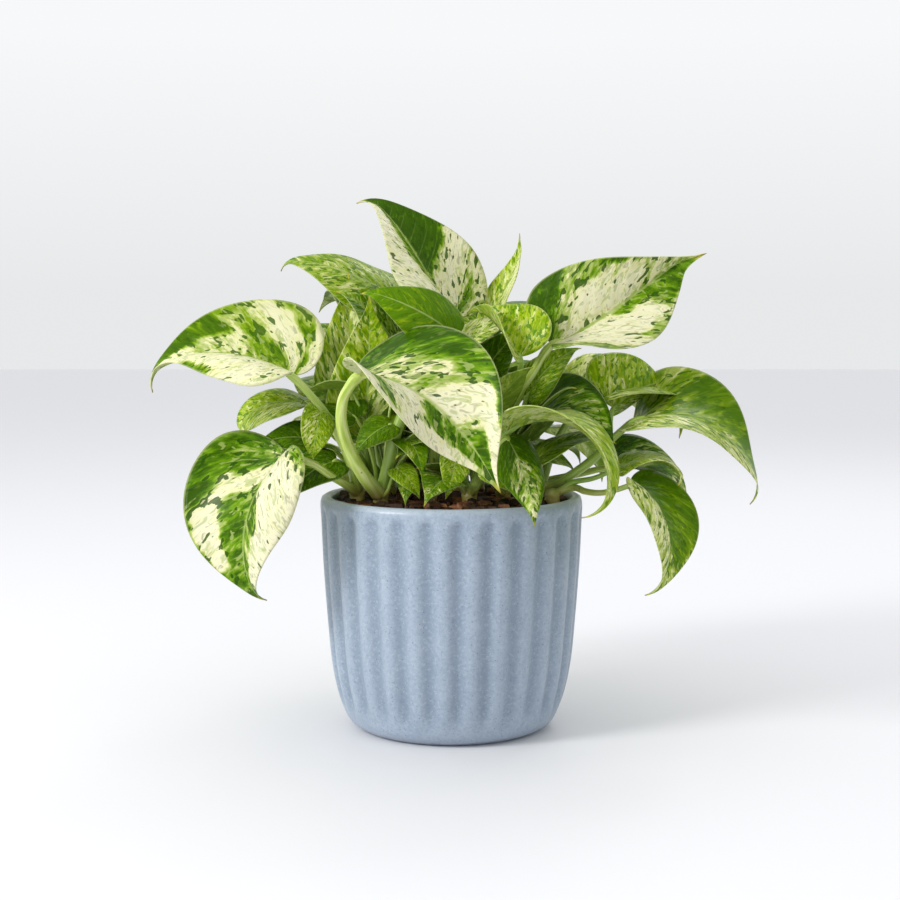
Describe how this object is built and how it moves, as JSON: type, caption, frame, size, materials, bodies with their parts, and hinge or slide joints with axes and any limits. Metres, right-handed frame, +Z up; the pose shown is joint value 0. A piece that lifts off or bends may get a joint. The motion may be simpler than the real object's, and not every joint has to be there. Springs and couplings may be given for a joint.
{
  "type": "potted pothos",
  "caption": "Leafy pothos plant with marbled green and cream heart-shaped leaves, rooted in soil in a fluted blue-grey ceramic pot with a smooth rounded lip.",
  "frame": {"origin": "centre of the pot's base, on the surface that it stands on", "axes": "+Z up along the pot's axis, -Y towards the front of the plant, +X to the right seen from the front"},
  "size_m": [0.2962, 0.2405, 0.2635],
  "materials": {
    "glaze": "satin blue-grey glaze with fine darker and lighter speckle",
    "soil": "dark brown potting mix with bark chips, loose and matt",
    "foliage": "waxy leaf, dark and mid green marbled with cream and pale yellow-green, pale green petioles"
  },
  "bodies": {
    "root": {"pot": "glaze", "soil": "soil", "stem_front_left": "foliage", "stem_left": "foliage", "stem_left_inner": "foliage", "stem_centre": "foliage", "stem_front_right": "foliage", "stem_right_inner": "foliage", "stem_right": "foliage", "stem_right_rim": "foliage", "stem_back_right": "foliage", "stem_back": "foliage", "stem_back_mid": "foliage", "stem_back_left": "foliage", "stem_crown": "foliage"}
  },
  "joints": []
}
